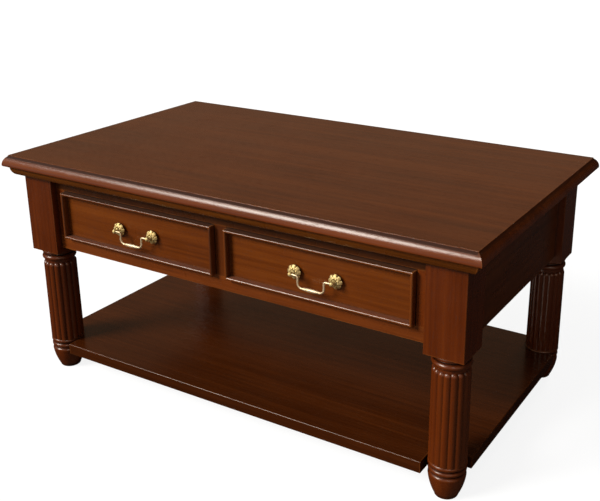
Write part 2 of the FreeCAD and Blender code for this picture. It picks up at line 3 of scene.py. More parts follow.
import bmesh
import bpy
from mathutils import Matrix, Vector


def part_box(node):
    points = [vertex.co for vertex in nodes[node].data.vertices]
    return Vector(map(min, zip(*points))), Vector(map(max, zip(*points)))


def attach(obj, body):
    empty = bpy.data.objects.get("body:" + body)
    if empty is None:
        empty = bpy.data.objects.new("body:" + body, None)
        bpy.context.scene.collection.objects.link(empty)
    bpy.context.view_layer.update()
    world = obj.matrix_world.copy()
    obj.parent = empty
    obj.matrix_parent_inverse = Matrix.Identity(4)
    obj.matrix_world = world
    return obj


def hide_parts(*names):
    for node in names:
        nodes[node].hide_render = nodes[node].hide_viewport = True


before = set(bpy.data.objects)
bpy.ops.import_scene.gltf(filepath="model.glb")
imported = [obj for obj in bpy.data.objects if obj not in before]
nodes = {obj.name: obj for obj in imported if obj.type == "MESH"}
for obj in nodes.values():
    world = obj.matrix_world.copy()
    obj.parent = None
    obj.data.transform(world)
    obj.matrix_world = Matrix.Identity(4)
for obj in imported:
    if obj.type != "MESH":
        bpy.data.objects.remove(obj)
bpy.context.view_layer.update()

# Small helpers for material nodes

NOISE_MIDDLE = 0.5
BUMP_DEPTH = 0.0002


def add(tree, kind, settings=None, inputs=None):
    """A new node. inputs holds numbers, or output sockets that are linked."""
    made = tree.nodes.new("ShaderNode" + kind)
    for key, value in (settings or {}).items():
        setattr(made, key, value)
    for key, value in (inputs or {}).items():
        if isinstance(value, bpy.types.NodeSocket):
            tree.links.new(value, made.inputs[key])
        else:
            made.inputs[key].default_value = value
    return made


def calc(tree, operation, first, second=0.0, third=0.0, clamp=False):
    """One step of arithmetic on sockets or numbers."""
    made = add(tree, "Math", {"operation": operation, "use_clamp": clamp},
               {0: first, 1: second, 2: third})
    return made.outputs[0]


def span(tree, value, low, high, to_low=0.0, to_high=1.0, smooth=False):
    """Maps low..high onto to_low..to_high and stops there."""
    kind = "SMOOTHSTEP" if smooth else "LINEAR"
    made = add(tree, "MapRange", {"interpolation_type": kind},
               {"Value": value, "From Min": low, "From Max": high,
                "To Min": to_low, "To Max": to_high})
    return made.outputs[0]


def stretched(tree, vector, scale, shift=(0.0, 0.0, 0.0)):
    """Coordinates squeezed by a different amount along each axis."""
    made = add(tree, "Mapping", {}, {"Vector": vector, "Scale": scale, "Location": shift})
    return made.outputs[0]


def noise(tree, vector, scale=1.0, detail=2.0, roughness=0.5, distortion=0.0):
    """Plain noise between 0 and 1. scale is how many waves of it a metre holds."""
    made = add(tree, "TexNoise", {}, {"Vector": vector, "Scale": scale, "Detail": detail,
                                      "Roughness": roughness, "Distortion": distortion})
    return made.outputs["Fac"]


def blend(tree, share, first, second):
    """Mixes two colours. share, first and second are sockets or plain values."""
    made = add(tree, "Mix", {"data_type": "RGBA", "clamp_factor": True},
               {0: share, 6: first, 7: second})
    return made.outputs[2]


def stops(tree, value, colours):
    """A colour ramp through evenly placed colours."""
    made = add(tree, "ValToRGB", {}, {"Fac": value})
    ramp = made.color_ramp
    last = len(colours) - 1
    for index in range(1, last):
        ramp.elements.new(index / last)
    for index, colour in enumerate(colours):
        ramp.elements[index].color = (*colour, 1.0)
    return made.outputs["Color"]


def openness(tree, reach, samples, **settings):
    """1 where nothing is near, and less where another face stands within reach metres."""
    made = add(tree, "AmbientOcclusion", {"samples": samples, **settings}, {"Distance": reach})
    return made.outputs["AO"]


def bumped(tree, shader, height, strength):
    """Tilts the surface where the height pattern rises and falls."""
    bump = add(tree, "Bump", {}, {"Strength": strength, "Distance": BUMP_DEPTH,
                                  "Height": height})
    tree.links.new(bump.outputs[0], shader.inputs["Normal"])


def new_material(name):
    """An empty node material and its Principled shader."""
    made = bpy.data.materials.new(name)
    made.use_nodes = True
    tree = made.node_tree
    return made, tree, tree.nodes["Principled BSDF"]


# The figure of the wood

# How many times a pattern repeats in a metre, along the grain, across it and through the
# board, and how its noise is drawn.
PATTERNS = {
    "ribbons": ((0.9, 15.0, 15.0), {"detail": 2.0}),
    "streaks": ((2.2, 95.0, 95.0), {"detail": 5.0, "roughness": 0.62, "distortion": 0.1}),
    "fibres": ((16.0, 800.0, 800.0), {"detail": 2.0, "roughness": 0.6}),
    "vessels": ((60.0, 1150.0, 1150.0), {"detail": 1.0}),
}
# What each pattern adds to the tone, and the part of that sum which the stain shows.
TONE_SHARES = {"rings": 0.16, "ribbons": 0.30, "streaks": 0.38, "fibres": 0.16}
TONE_RANGE = (0.34, 0.66)
# Only the strongest vessels are cut open as pores.
PORE_RANGE = (0.61, 0.72)
# The grain wanders within a band this wide in metres, in waves counted as above.
DRIFT_WIDTH = 0.014
DRIFT_REPEATS = (1.3, 6.0, 6.0)
# How far the board lies from the pith in metres, and how much the pith leans.
PITH_OFFSET = (0.0, 0.21, -0.16)
PITH_LEAN = 0.02
RINGS = {"Scale": 1.0, "Detail": 2.5, "Roughness": 0.55}
RINGS_IN_METRE = 210.0


def wood_figure():
    """A node group for solid mahogany whose grain runs along its first axis."""
    group = bpy.data.node_groups.new("mahogany figure", "ShaderNodeTree")
    group.interface.new_socket("Vector", in_out="INPUT", socket_type="NodeSocketVector")
    for name in ("Tone", "Pores", "Fibres"):
        group.interface.new_socket(name, in_out="OUTPUT", socket_type="NodeSocketFloat")
    entry = group.nodes.new("NodeGroupInput").outputs["Vector"]
    leave = group.nodes.new("NodeGroupOutput")

    waves = add(group, "TexNoise", {}, {"Vector": stretched(group, entry, DRIFT_REPEATS),
                                        "Scale": 1.0, "Detail": 2.0})
    centred = add(group, "VectorMath", {"operation": "SUBTRACT"},
                  {0: waves.outputs["Color"], 1: [NOISE_MIDDLE] * 3})
    sideways = add(group, "VectorMath", {"operation": "MULTIPLY"},
                   {0: centred.outputs[0], 1: (0.0, DRIFT_WIDTH, DRIFT_WIDTH)})
    grain = add(group, "VectorMath", {"operation": "ADD"},
                {0: entry, 1: sideways.outputs[0]}).outputs[0]

    # Growth rings lie round the pith.
    from_pith = stretched(group, grain, (PITH_LEAN, 1.0, 1.0), PITH_OFFSET)
    distance = add(group, "VectorMath", {"operation": "LENGTH"}, {0: from_pith}).outputs["Value"]
    counted = calc(group, "MULTIPLY", distance, RINGS_IN_METRE)
    rings = add(group, "TexNoise", {"noise_dimensions": "1D"}, {"W": counted, **RINGS})

    drawn = {"rings": rings.outputs["Fac"]}
    for name, (repeats, look) in PATTERNS.items():
        drawn[name] = noise(group, stretched(group, grain, repeats), **look)
    tone = 0.0
    for name, share in TONE_SHARES.items():
        tone = calc(group, "MULTIPLY_ADD", drawn[name], share, tone)
    group.links.new(span(group, tone, *TONE_RANGE), leave.inputs["Tone"])
    group.links.new(span(group, drawn["vessels"], *PORE_RANGE), leave.inputs["Pores"])
    group.links.new(drawn["fibres"], leave.inputs["Fibres"])
    return group


figure = wood_figure()
# The turn that lays a board's grain along each axis.
TURN = {"X": (0.0, 0.0, 0.0), "Y": (0.0, 0.0, -math.pi / 2), "Z": (0.0, math.pi / 2, 0.0)}
# How far along, across and through the log, in metres, each next board is cut.
NEXT_BOARD = (0.731, 0.0473, 0.0319)

# Finishes of the wood

# tones are the stain's colours from the darkest streak to the lightest, and side_tones are
# for the upright faces of a board whose upward faces take other tones: these darker upward
# tones are painted shade on the top bead and partly painted shade on the top board. worn is
# the colour of rubbed arrises, and glaze that of the corners, which is partly real glaze and
# partly painted shade. sheen is the roughness and level the strength of the mirror image.
# pores and clouds are how much the pores and the uneven stain show. hollow is how near, in
# metres, two faces have to be for the glaze and painted shade to lie in the corner between
# them. quirk is how far, in metres, below the board's upper face the painted shade line run
# round it starts and ends. dull is the roughness of a ledge's upper face.
FINISH = {
    "front": {"tones": ((0.060, 0.0110, 0.0009), (0.118, 0.0250, 0.0020),
                        (0.165, 0.0390, 0.0036)),
              "worn": (0.26, 0.076, 0.012), "glaze_and_shade": (0.012, 0.0022, 0.0004),
              "sheen": 0.27, "level": 0.50, "pores": 0.35, "clouds": 0.60, "hollow": 0.0045},
    "frame": {"tones": ((0.057, 0.0080, 0.0005), (0.116, 0.0192, 0.0010),
                        (0.163, 0.0310, 0.0021)),
              "worn": (0.24, 0.066, 0.010), "glaze_and_shade": (0.030, 0.0045, 0.0004),
              "sheen": 0.27, "level": 0.50, "pores": 0.35, "clouds": 0.60, "hollow": 0.005},
    "rail": {"tones": ((0.074, 0.0135, 0.0016), (0.143, 0.0305, 0.0038),
                       (0.192, 0.0445, 0.0060)),
             "worn": (0.28, 0.084, 0.014), "glaze_and_shade": (0.020, 0.0040, 0.0005),
             "sheen": 0.27, "level": 0.50, "pores": 0.35, "clouds": 0.60, "hollow": 0.004},
    "leg": {"tones": ((0.043, 0.0062, 0.0004), (0.089, 0.0142, 0.0009),
                      (0.127, 0.0230, 0.0017)),
            "worn": (0.23, 0.064, 0.010), "glaze_and_shade": (0.012, 0.0020, 0.0003),
            "sheen": 0.26, "level": 0.65, "pores": 0.35, "clouds": 0.60, "hollow": 0.012},
    "top": {"tones": ((0.039, 0.0074, 0.0007), (0.073, 0.0144, 0.0013),
                      (0.106, 0.0233, 0.0025)),
            "side_tones": ((0.057, 0.0088, 0.0009), (0.113, 0.0200, 0.0021),
                           (0.158, 0.0314, 0.0036)),
            "worn": (0.24, 0.072, 0.014), "glaze_and_shade": (0.022, 0.0040, 0.0005),
            "sheen": 0.23, "level": 0.50, "pores": 0.30, "clouds": 0.50, "hollow": 0.0045,
            "quirk": (0.0050, 0.0004)},
    "shelf": {"tones": ((0.023, 0.0042, 0.0005), (0.043, 0.0086, 0.0010),
                        (0.066, 0.0142, 0.0020)),
              "worn": (0.22, 0.066, 0.012), "glaze_and_shade": (0.008, 0.0016, 0.0004),
              "sheen": 0.23, "level": 0.40, "pores": 0.30, "clouds": 0.50, "hollow": 0.010},
    "plain": {"tones": ((0.300, 0.150, 0.062), (0.430, 0.245, 0.115),
                        (0.530, 0.330, 0.175)),
              "worn": (0.60, 0.42, 0.26), "glaze_and_shade": (0.14, 0.07, 0.035),
              "sheen": 0.58, "level": 0.30, "pores": 0.45, "clouds": 0.45, "hollow": 0.008},
}
# Finishes that differ from one of these in a few values. The darker tones of the high bead's
# upper face, of the high rail under the top and of the apron are painted shade.
FINISH["bead"] = {**FINISH["front"], "level": 0.85, "hollow": 0.003, "dull": 0.85}
FINISH["high bead"] = {**FINISH["bead"], "level": 0.55, "side_tones": FINISH["front"]["tones"],
                       "tones": ((0.022, 0.0050, 0.0005), (0.042, 0.0105, 0.0010),
                                 (0.062, 0.0170, 0.0018))}
FINISH["high rail"] = {**FINISH["frame"],
                       "tones": ((0.028, 0.0056, 0.0006), (0.055, 0.0125, 0.0012),
                                 (0.082, 0.0205, 0.0022))}
FINISH["apron"] = {**FINISH["frame"],
                   "tones": ((0.042, 0.0078, 0.0009), (0.086, 0.0175, 0.0018),
                             (0.124, 0.0280, 0.0034))}
# The moulding's lighter, yellower tones are partly its own colour and partly painted light under
# the top's overhang.
FINISH["moulding"] = {**FINISH["frame"], "glaze_and_shade": (0.034, 0.0062, 0.0005),
                      "tones": ((0.069, 0.0147, 0.0008), (0.133, 0.0328, 0.0016),
                                (0.182, 0.0496, 0.0030))}

# How much a face looks up, 1 being level: where the side tones give way to those of the
# flat, which are partly painted shade, and where a ledge gets dull.
FLAT_FACE = (0.50, 0.80)
LEVEL_FACE = (0.90, 0.99)

STAIN_CLOUDS = {"scale": 5.5, "detail": 3.0, "roughness": 0.55}
# A pore's colour as a share of the darkest tone.
PORE_TONE_SHARE = 0.42
# Glaze and painted shade go from none to most of their colour as a corner gets less open.
GLAZE_AND_SHADE_OPENNESS = (0.90, 0.38)
GLAZE_AND_SHADE_SHARES = (0.0, 0.85)
OCCLUSION_SAMPLES = 6

# The painted shade line in the quirk fades over these lengths in metres, and this far from
# the board's ends it falls from the first share to the second.
QUIRK_FADE_BELOW = 0.0012
QUIRK_FADE_ABOVE = 0.0003
QUIRK_END_FADE = (0.0120, 0.0108)
QUIRK_SHARES = (0.92, 0.40)

# An arris is where the wood is thin this many metres inside its face. It is rubbed more
# the less open it is there, and more in some patches than in others.
ARRIS_REACH = 0.0022
ARRIS_OPENNESS = (0.97, 0.55)
RUBBED_PATCHES = {"scale": 38.0, "detail": 3.0, "roughness": 0.6}
PATCH_RANGE = (0.36, 0.66)
RUBBED_SHARES = (0.12, 0.62)

SMEARS = {"scale": 11.0, "detail": 3.0, "roughness": 0.6}
# Most of a noise's values lie in this range.
MIDDLE_RANGE = (0.3, 0.7)
# What is added to the roughness: where smears shine and where they don't, in the pores
# and where the glaze and painted shade lie. The painted shade line in the quirk has its own.
SMEAR_BRIGHT = -0.03
SMEAR_DULL = 0.04
PORE_DULL = 0.16
GLAZE_AND_SHADE_DULL = 0.18
QUIRK_DULL = 0.90

# Open pores, raised fibres and the slow waves of a sprayed coat, by their heights.
PORE_HEIGHT = -0.6
FIBRE_HEIGHT = 0.25
COAT_HEIGHT = 0.14
COAT_WAVES = {"scale": 70.0, "detail": 1.0}
WOOD_RELIEF = 0.16

# The coat's mirror images are a little warm.
MIRROR_TINT = (1.0, 0.95, 0.87, 1.0)


def stained(tree, spec, board, cut, upward):
    """The stained wood. The stain lies thicker in some places and darker in the pores, and
    upward faces may take darker tones that are partly painted shade.
    """
    clouds = noise(tree, board, **STAIN_CLOUDS)
    uneven = calc(tree, "SUBTRACT", clouds, NOISE_MIDDLE)
    uneven = calc(tree, "MULTIPLY", uneven, spec["clouds"])
    tone = calc(tree, "ADD", cut["Tone"], uneven, clamp=True)
    colour = stops(tree, tone, spec["tones"])
    # Faces that look up take the other tones: darker ones, painted shade on the top bead and
    # partly painted shade on the top board.
    if "side_tones" in spec:
        colour = blend(tree, span(tree, upward, *FLAT_FACE),
                       stops(tree, tone, spec["side_tones"]), colour)
    pore = [part * PORE_TONE_SHARE for part in spec["tones"][0]]
    filled = calc(tree, "MULTIPLY", cut["Pores"], spec["pores"])
    return blend(tree, filled, colour, (*pore, 1.0))


def corner_glaze_and_shade(tree, spec):
    """How much glaze and painted shade lie at a point: none on open faces, most in the corners.
    """
    hollow = openness(tree, spec["hollow"], OCCLUSION_SAMPLES)
    return span(tree, hollow, *GLAZE_AND_SHADE_OPENNESS, *GLAZE_AND_SHADE_SHARES)


def painted_quirk_shade(tree, spec, place, node):
    """How dark the painted shade line in the quirk round the board is at a point."""
    across, _, level = add(tree, "SeparateXYZ", {}, {0: place}).outputs
    _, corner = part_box(node)
    below, above = [corner.z - depth for depth in spec["quirk"]]
    quirk_shade = calc(tree, "MULTIPLY", span(tree, level, below - QUIRK_FADE_BELOW, below),
                 span(tree, level, above, above - QUIRK_FADE_ABOVE))
    end_fade = [corner.x - inset for inset in QUIRK_END_FADE]
    at_ends = span(tree, calc(tree, "ABSOLUTE", across), *end_fade, *QUIRK_SHARES)
    return calc(tree, "MULTIPLY", quirk_shade, at_ends)


def rubbed_arris(tree, place):
    """How much hands have rubbed a point: in patches, and only along the arrises."""
    arris = openness(tree, ARRIS_REACH, OCCLUSION_SAMPLES, inside=True, only_local=True)
    patches = noise(tree, place, **RUBBED_PATCHES)
    return calc(tree, "MULTIPLY", span(tree, arris, *ARRIS_OPENNESS),
                span(tree, patches, *PATCH_RANGE, *RUBBED_SHARES))


def lacquered(tree, spec, place, cut, glaze_and_shade):
    """The roughness of the coat, smeared here and there and dull in pores and corners."""
    smears = noise(tree, place, **SMEARS)
    rough = span(tree, smears, *MIDDLE_RANGE, spec["sheen"] + SMEAR_BRIGHT,
                 spec["sheen"] + SMEAR_DULL)
    rough = calc(tree, "MULTIPLY_ADD", cut["Pores"], PORE_DULL, rough)
    return calc(tree, "MULTIPLY_ADD", glaze_and_shade, GLAZE_AND_SHADE_DULL, rough, clamp=True)


def wood_relief(tree, place, cut):
    """Open pores, raised fibres and the waves of the coat, as one height."""
    coat = noise(tree, place, **COAT_WAVES)
    height = calc(tree, "MULTIPLY_ADD", cut["Pores"], PORE_HEIGHT,
                  calc(tree, "MULTIPLY", cut["Fibres"], FIBRE_HEIGHT))
    return calc(tree, "MULTIPLY_ADD", coat, COAT_HEIGHT, height)


def wood(node, grain, seed, finish):
    """Stained and lacquered wood for one board. grain is the axis along it."""
    spec = FINISH[finish]
    made, tree, shader = new_material(node + " wood")
    place = add(tree, "TexCoord").outputs["Object"]
    along_log = [seed * step for step in NEXT_BOARD]
    board = add(tree, "Mapping", {}, {"Vector": place, "Rotation": TURN[grain],
                                      "Location": along_log}).outputs[0]
    sawn = tree.nodes.new("ShaderNodeGroup")
    sawn.node_tree = figure
    tree.links.new(board, sawn.inputs[0])
    cut = sawn.outputs
    normal = add(tree, "NewGeometry").outputs["Normal"]
    upward = add(tree, "SeparateXYZ", {}, {0: normal}).outputs["Z"]

    colour = stained(tree, spec, board, cut, upward)
    # Glaze in the corners is partly real glaze and partly painted shade.
    glaze_and_shade = corner_glaze_and_shade(tree, spec)
    # The dark line in the quirk is painted shade.
    quirk_shade = painted_quirk_shade(tree, spec, place, node) if "quirk" in spec else None
    dark = calc(tree, "MAXIMUM", glaze_and_shade, quirk_shade) if quirk_shade else glaze_and_shade
    colour = blend(tree, dark, colour, (*spec["glaze_and_shade"], 1.0))
    colour = blend(tree, rubbed_arris(tree, place), colour, (*spec["worn"], 1.0))
    tree.links.new(colour, shader.inputs["Base Color"])

    rough = lacquered(tree, spec, place, cut, glaze_and_shade)
    if quirk_shade:
        rough = calc(tree, "MAXIMUM", rough, calc(tree, "MULTIPLY", quirk_shade, QUIRK_DULL))
    if "dull" in spec:
        ledge = span(tree, upward, *LEVEL_FACE, 0.0, spec["dull"])
        rough = calc(tree, "MAXIMUM", rough, ledge)
    tree.links.new(rough, shader.inputs["Roughness"])

    bumped(tree, shader, wood_relief(tree, place, cut), WOOD_RELIEF)
    shader.inputs["Specular IOR Level"].default_value = spec["level"]
    shader.inputs["Specular Tint"].default_value = MIRROR_TINT
    return made


# Brass and steel

# Colours from dull to bright.
CAST_BRASS = ((0.56, 0.42, 0.16), (0.72, 0.57, 0.25), (0.82, 0.68, 0.34))
HANDLED_BRASS = ((0.70, 0.54, 0.32), (0.84, 0.69, 0.45), (0.90, 0.77, 0.54))
DRAWN_STEEL = ((0.22, 0.22, 0.23), (0.48, 0.48, 0.49), (0.62, 0.62, 0.62))
TARNISH = (0.115, 0.066, 0.018, 1.0)

CAST_ROUGHNESS = 0.50
HANDLED_ROUGHNESS = 0.44
BRASS_METALLIC = 0.80
BRASS_RELIEF = 0.12
BRASS_SKIN = {"scale": 900.0, "detail": 2.0}
MOTTLE = {"scale": 160.0, "detail": 4.0, "roughness": 0.6}
MOTTLE_RANGE = (0.32, 0.68)
# What is added to the roughness in dull spots and in grime.
MOTTLE_DULL = 0.10
GRIME_DULL = 0.25
GRIME_REACH = 0.004
GRIME_OPENNESS = (0.78, 0.22)
GRIME_SHARES = (0.0, 0.85)
GRIME_SAMPLES = 8
# How far apart, in metres, the mottle of two castings is taken.
NEXT_CASTING = (0.3, 0.1, 0.0)

# The marks of the die repeat this often in a metre, across the wire and along it.
DRAWN_MARKS = (900.0, 900.0, 40.0)
STEEL_ROUGHNESS = (0.28, 0.46)
STEEL_RELIEF = 0.15


def brass(name, seed, tones, rough_low):
    """Brass with darker tarnish in its hollows. tones run from dull to bright."""
    made, tree, shader = new_material(name)
    place = add(tree, "TexCoord").outputs["Object"]
    moved = stretched(tree, place, (1.0, 1.0, 1.0), [seed * step for step in NEXT_CASTING])
    mottle = noise(tree, moved, **MOTTLE)
    colour = stops(tree, span(tree, mottle, *MOTTLE_RANGE), tones)
    hollow = openness(tree, GRIME_REACH, GRIME_SAMPLES)
    grime = span(tree, hollow, *GRIME_OPENNESS, *GRIME_SHARES)
    tree.links.new(blend(tree, grime, colour, TARNISH), shader.inputs["Base Color"])
    rough = span(tree, mottle, *MIDDLE_RANGE, rough_low, rough_low + MOTTLE_DULL)
    rough = calc(tree, "MULTIPLY_ADD", grime, GRIME_DULL, rough, clamp=True)
    tree.links.new(rough, shader.inputs["Roughness"])
    bumped(tree, shader, noise(tree, moved, **BRASS_SKIN), BRASS_RELIEF)
    shader.inputs["Metallic"].default_value = BRASS_METALLIC
    return made


def steel(name):
    """Plain wire-drawn steel for the screws."""
    made, tree, shader = new_material(name)
    place = add(tree, "TexCoord").outputs["Object"]
    drawn = noise(tree, stretched(tree, place, DRAWN_MARKS), detail=3.0)
    tree.links.new(stops(tree, drawn, DRAWN_STEEL), shader.inputs["Base Color"])
    rough = span(tree, drawn, *MIDDLE_RANGE, *STEEL_ROUGHNESS)
    tree.links.new(rough, shader.inputs["Roughness"])
    bumped(tree, shader, drawn, STEEL_RELIEF)
    shader.inputs["Metallic"].default_value = 1.0
    return made


# Each piece's finish

# Name of the node: the way its grain runs, and its finish.
BOARDS = {
    "top_board": ("X", "top"),
    "bed_moulding_front": ("X", "moulding"), "bed_moulding_back": ("X", "moulding"),
    "bed_moulding_left": ("Y", "moulding"), "bed_moulding_right": ("Y", "moulding"),
    "leg_front_left": ("Z", "leg"), "leg_front_right": ("Z", "leg"),
    "leg_back_left": ("Z", "leg"), "leg_back_right": ("Z", "leg"),
    "apron_left": ("Y", "apron"), "apron_right": ("Y", "apron"), "apron_back": ("X", "apron"),
    "front_top_rail": ("X", "high rail"), "front_bottom_rail": ("X", "rail"),
    "front_stile_left": ("Z", "frame"), "front_stile_right": ("Z", "frame"),
    # The centre stile takes the apron's darker tones, which are painted shade.
    "centre_stile": ("Z", "apron"),
    "runner_left": ("Y", "plain"), "runner_centre": ("Y", "plain"),
    "runner_right": ("Y", "plain"), "kicker_left": ("Y", "plain"),
    "kicker_centre": ("Y", "plain"), "kicker_right": ("Y", "plain"),
    "glue_block_left": ("Y", "plain"), "glue_block_right": ("Y", "plain"),
    "glue_block_back_left": ("X", "plain"), "glue_block_back_right": ("X", "plain"),
    "drawer_stops": ("X", "plain"), "shelf_dowels": ("X", "plain"),
    "shelf_board": ("X", "shelf"),
}
DRAWER_BOARDS = {
    "front": ("X", "front"),
    "bead_top": ("X", "high bead"), "bead_bottom": ("X", "bead"),
    "bead_left": ("Z", "bead"), "bead_right": ("Z", "bead"),
    "side_left": ("Y", "plain"), "side_right": ("Y", "plain"),
    "back": ("X", "plain"), "bottom": ("X", "plain"),
}
for side in ("left", "right"):
    for piece, look in DRAWER_BOARDS.items():
        BOARDS[f"{side}_drawer_{piece}"] = look

for count, (node, (grain, finish)) in enumerate(BOARDS.items(), start=1):
    nodes[node].material_slots[0].material = wood(node, grain, count, finish)
nodes["top_screws"].material_slots[0].material = steel("screw steel")

# The castings of a pull come first in the count, and both bails after them.
FIRST_CASTING = 1
FIRST_BAIL = 3
cast = {}
for count, side in enumerate(("left", "right")):
    cast[side] = brass(side + " rosette brass", FIRST_CASTING + count, CAST_BRASS,
                       CAST_ROUGHNESS)
    handled = brass(side + " bail brass", FIRST_BAIL + count, HANDLED_BRASS,
                    HANDLED_ROUGHNESS)
    for piece in ("rosette_left", "rosette_right", "pull_posts", "pull_nuts"):
        nodes[f"{side}_drawer_{piece}"].material_slots[0].material = cast[side]
    nodes[f"{side}_drawer_bail"].material_slots[0].material = handled

# Cast rosettes of the pulls, in place of the plain ones

MM_IN_METRE = 1000.0
PETALS = 8
# The outer petals stand half a petal on from the inner ones.
OUTER_TURN = 0.5
INNER_TURN = 0.0
STEPS_IN_PETAL = 16
BORE_AXIS = (0.0, 1.0, 0.0)
MERGE_DISTANCE = 1e-6
# Radius and height over the drawer front in millimetres: along the foot, out to the rim,
# up the outer petals, over the step to the inner petals, and down into the bore.
ROSETTE_OUTLINE = (
    (2.7, 0.0), (5.5, 0.0), (8.1, 0.0), (8.4, 0.3), (8.9, 1.2), (10.2, 2.5), (11.8, 3.7),
    (13.2, 4.6), (14.1, 5.1), (14.45, 5.6), (14.4, 6.2), (14.0, 6.8), (13.3, 7.5),
    (12.5, 8.1), (11.7, 8.65), (10.9, 9.05), (10.2, 9.3), (9.7, 9.4), (9.35, 9.55),
    (9.2, 9.9), (9.0, 10.3), (8.5, 10.75), (7.8, 11.15), (7.1, 11.35), (6.5, 11.3),
    (6.0, 10.9), (5.6, 10.2), (5.3, 9.5), (5.0, 9.3), (4.75, 9.6), (4.6, 10.6), (4.5, 11.6),
    (4.3, 12.0), (2.7, 12.0),
)
# How the petals are cut into the turned shape, in millimetres. Creases and furrows lower
# the surface, and notches draw the rim in. A fade is the radius or the height at which a
# cut starts and the length over which it comes to its full depth.
OUTER_ROOT = 9.3
OUTER_CREASE = 2.3
OUTER_NOTCH = 2.3
OUTER_FURROW = 0.45
OUTER_HEIGHT_FADE = (5.3, 1.5)
OUTER_CREASE_FADE = (9.3, 3.4)
OUTER_FURROW_FADE = (9.8, 2.0)
OUTER_NOTCH_FADE = (10.0, 4.4)
INNER_ROOT = 4.9
INNER_FOOT = 9.3
INNER_CREASE = 1.15
INNER_NOTCH = 1.7
INNER_HEIGHT_FADE = (9.5, 0.9)
INNER_CREASE_FADE = (4.9, 1.6)
INNER_NOTCH_FADE = (5.6, 3.4)
# The higher this power, the narrower each cut.
CUT_POWER = 3


def eased(value, fade):
    """0 before the fade and 1 after it, with a smooth rise between."""
    start, length = fade
    share = min(max((value - start) / length, 0.0), 1.0)
    return share * share * (3.0 - 2.0 * share)


def from_petal(turn, offset):
    """0 along the middle of a petal and 1 at the crease beside it."""
    share = (turn * PETALS / (2.0 * math.pi) + offset) % 1.0
    return abs(2.0 * share - 1.0)


def petal_shape(radius, height, turn):
    """Where a point of the plain turned rosette goes when the petals are cut."""
    if radius > OUTER_ROOT:
        off_middle = from_petal(turn, OUTER_TURN)
        between = off_middle ** CUT_POWER
        along = (1.0 - off_middle) ** CUT_POWER
        on_top = eased(height, OUTER_HEIGHT_FADE)
        crease = OUTER_CREASE * between * eased(radius, OUTER_CREASE_FADE) * on_top
        furrow = OUTER_FURROW * along * eased(radius, OUTER_FURROW_FADE) * on_top
        notch = OUTER_NOTCH * between * eased(radius, OUTER_NOTCH_FADE)
        return radius - notch, height - crease - furrow
    if radius > INNER_ROOT and height > INNER_FOOT:
        between = from_petal(turn, INNER_TURN) ** CUT_POWER
        on_top = eased(height, INNER_HEIGHT_FADE)
        crease = INNER_CREASE * between * eased(radius, INNER_CREASE_FADE) * on_top
        notch = INNER_NOTCH * between * eased(radius, INNER_NOTCH_FADE)
        return radius - notch, height - crease
    return radius, height


def rosette(node, body, metal):
    """A flower of two rows of petals, turned about the post's axis and then carved."""
    low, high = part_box(node)
    middle = Vector(((low.x + high.x) / 2, high.y, (low.z + high.z) / 2))
    shape = bmesh.new()
    ring = [shape.verts.new(middle + Vector((radius, -height, 0.0)) / MM_IN_METRE)
            for radius, height in ROSETTE_OUTLINE]
    loop = [shape.edges.new((ring[i - 1], ring[i])) for i in range(len(ring))]
    bmesh.ops.spin(shape, geom=ring + loop, cent=middle, axis=BORE_AXIS,
                   angle=2.0 * math.pi, steps=PETALS * STEPS_IN_PETAL, use_merge=True)
    for vert in shape.verts:
        offset = (vert.co - middle) * MM_IN_METRE
        turn = math.atan2(offset.z, offset.x)
        radius, height = petal_shape(math.hypot(offset.x, offset.z), -offset.y, turn)
        carved = Vector((radius * math.cos(turn), -height, radius * math.sin(turn)))
        vert.co = middle + carved / MM_IN_METRE
    bmesh.ops.remove_doubles(shape, verts=shape.verts, dist=MERGE_DISTANCE)
    bmesh.ops.recalc_face_normals(shape, faces=shape.faces)
    for face in shape.faces:
        face.smooth = True
    mesh = bpy.data.meshes.new(node + "_flower")
    shape.to_mesh(mesh)
    shape.free()
    mesh.materials.append(metal)
    made = bpy.data.objects.new(node + "_flower", mesh)
    bpy.context.scene.collection.objects.link(made)
    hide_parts(node)
    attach(made, body)


for side in ("left", "right"):
    for end in ("left", "right"):
        rosette(f"{side}_drawer_rosette_{end}", side + "_drawer", cast[side])

# Floor

FLOOR_HALF_WIDTH = 30.0
# The floor's own colour, and what the camera's rays get added to it.
FLOOR_COLOUR = (0.18, 0.18, 0.178, 1.0)
FLOOR_GLOW = 0.87
# Mirror images show the floor in two dim colours, one towards the back and one towards the
# front, and white well in front of the table. The ranges are places along Y, in metres.
MIRRORED_BACK = (0.02, 0.02, 0.02, 1.0)
MIRRORED_FRONT = (0.052, 0.038, 0.025, 1.0)
MIRRORED_CHANGE = (0.1, -0.4)
MIRRORED_WHITE = (-3.0, -1.6)
MIRRORED_WHITE_LEVEL = 0.6
WHITE = (1.0, 1.0, 1.0, 1.0)


def mirror_rays(tree, path):
    """1 for rays that are mirrored or come through glass, and 0 for all others."""
    return calc(tree, "ADD", path["Is Glossy Ray"], path["Is Transmission Ray"], clamp=True)


